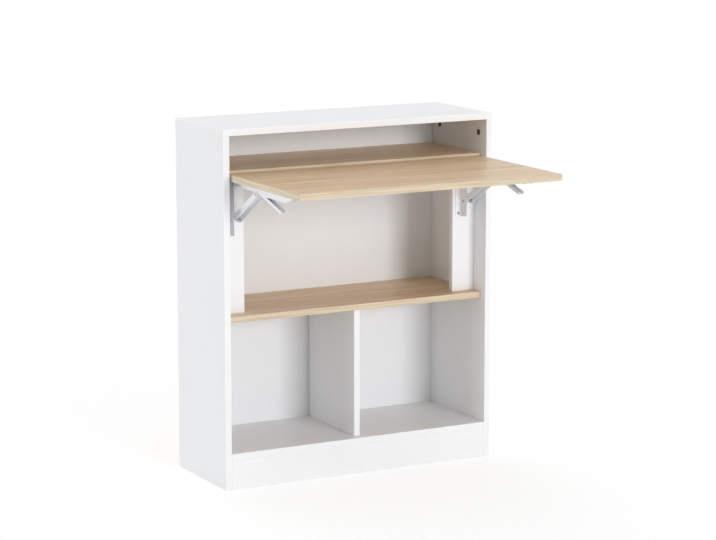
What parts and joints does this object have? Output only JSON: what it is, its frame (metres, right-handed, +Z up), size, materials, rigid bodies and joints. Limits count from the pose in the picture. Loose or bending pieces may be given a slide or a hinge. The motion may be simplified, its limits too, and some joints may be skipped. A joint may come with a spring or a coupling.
{
  "type": "folding desk cabinet",
  "caption": "Narrow open shelf cabinet with a desktop flap that folds down in front of it on folding steel brackets with release levers.",
  "frame": {"origin": "on the floor, under the middle of the whole part with its flap open", "axes": "+Z up, +Y from the flap towards the cabinet's back, +X to the right seen from the front"},
  "size_m": [0.7, 0.5978, 0.83],
  "materials": {
    "white_board": "white melamine facing, satin",
    "oak_board": "light oak facing, satin",
    "white_hardboard": "white lacquered hardboard, satin",
    "white_enamel": "white powder coat, semi-gloss",
    "zinc_steel": "bright zinc plated",
    "cam_zinc": "raw zinc casting",
    "beech": "plain beech, fluted",
    "nylon": "natural nylon"
  },
  "bodies": {
    "carcass": {"left_side_panel": "white_board", "right_side_panel": "white_board", "top_panel": "white_board", "bottom_shelf": "white_board", "plinth_board": "white_board", "centre_divider": "white_board", "left_post": "white_board", "right_post": "white_board", "middle_shelf": "oak_board", "desk_shelf": "oak_board", "back_panel": "white_hardboard", "cam_locks": "cam_zinc", "cam_bolts": "zinc_steel", "wooden_dowels": "beech", "back_nails": "zinc_steel", "left_wall_leg": "white_enamel", "right_wall_leg": "white_enamel", "wall_leg_screws": "zinc_steel", "corner_pins": "zinc_steel", "corner_spacers": "nylon", "strut_pins": "zinc_steel"},
    "flap": {"flap_board": "oak_board", "left_table_leg": "white_enamel", "right_table_leg": "white_enamel", "table_leg_screws": "zinc_steel", "lever_pins": "zinc_steel"},
    "left_strut": {"left_strut_left_bar": "white_enamel", "left_strut_right_bar": "white_enamel", "left_knee_pin": "zinc_steel"},
    "right_strut": {"right_strut_left_bar": "white_enamel", "right_strut_right_bar": "white_enamel", "right_knee_pin": "zinc_steel"},
    "left_lever": {"left_release_lever": "white_enamel"},
    "right_lever": {"right_release_lever": "white_enamel"}
  },
  "joints": [
    {"name": "flap_fold", "type": "hinge", "parent": "carcass", "child": "flap", "pos_m": [0, 0.0691, 0.701], "axis": [1, 0, 0], "range_deg": [0, 90]},
    {"name": "left_strut_swing", "type": "hinge", "parent": "carcass", "child": "left_strut", "pos_m": [0, 0.0821, 0.617], "axis": [1, 0, 0], "range_deg": [0, 121.4]},
    {"name": "right_strut_swing", "type": "hinge", "parent": "carcass", "child": "right_strut", "pos_m": [0, 0.0821, 0.617], "axis": [1, 0, 0], "range_deg": [0, 121.4]},
    {"name": "left_lever_press", "type": "hinge", "parent": "flap", "child": "left_lever", "pos_m": [0, -0.02069, 0.70575], "axis": [-1, 0, 0], "range_deg": [0, 16]},
    {"name": "right_lever_press", "type": "hinge", "parent": "flap", "child": "right_lever", "pos_m": [0, -0.02069, 0.70575], "axis": [-1, 0, 0], "range_deg": [0, 16]}
  ],
  "couplings": [
    {"joint": "left_strut_swing", "follows": "flap_fold", "ratio": 1.3486},
    {"joint": "right_strut_swing", "follows": "flap_fold", "ratio": 1.3486},
    {"joint": "left_lever_press", "follows": "flap_fold", "ratio": 0.17778},
    {"joint": "right_lever_press", "follows": "flap_fold", "ratio": 0.17778}
  ]
}
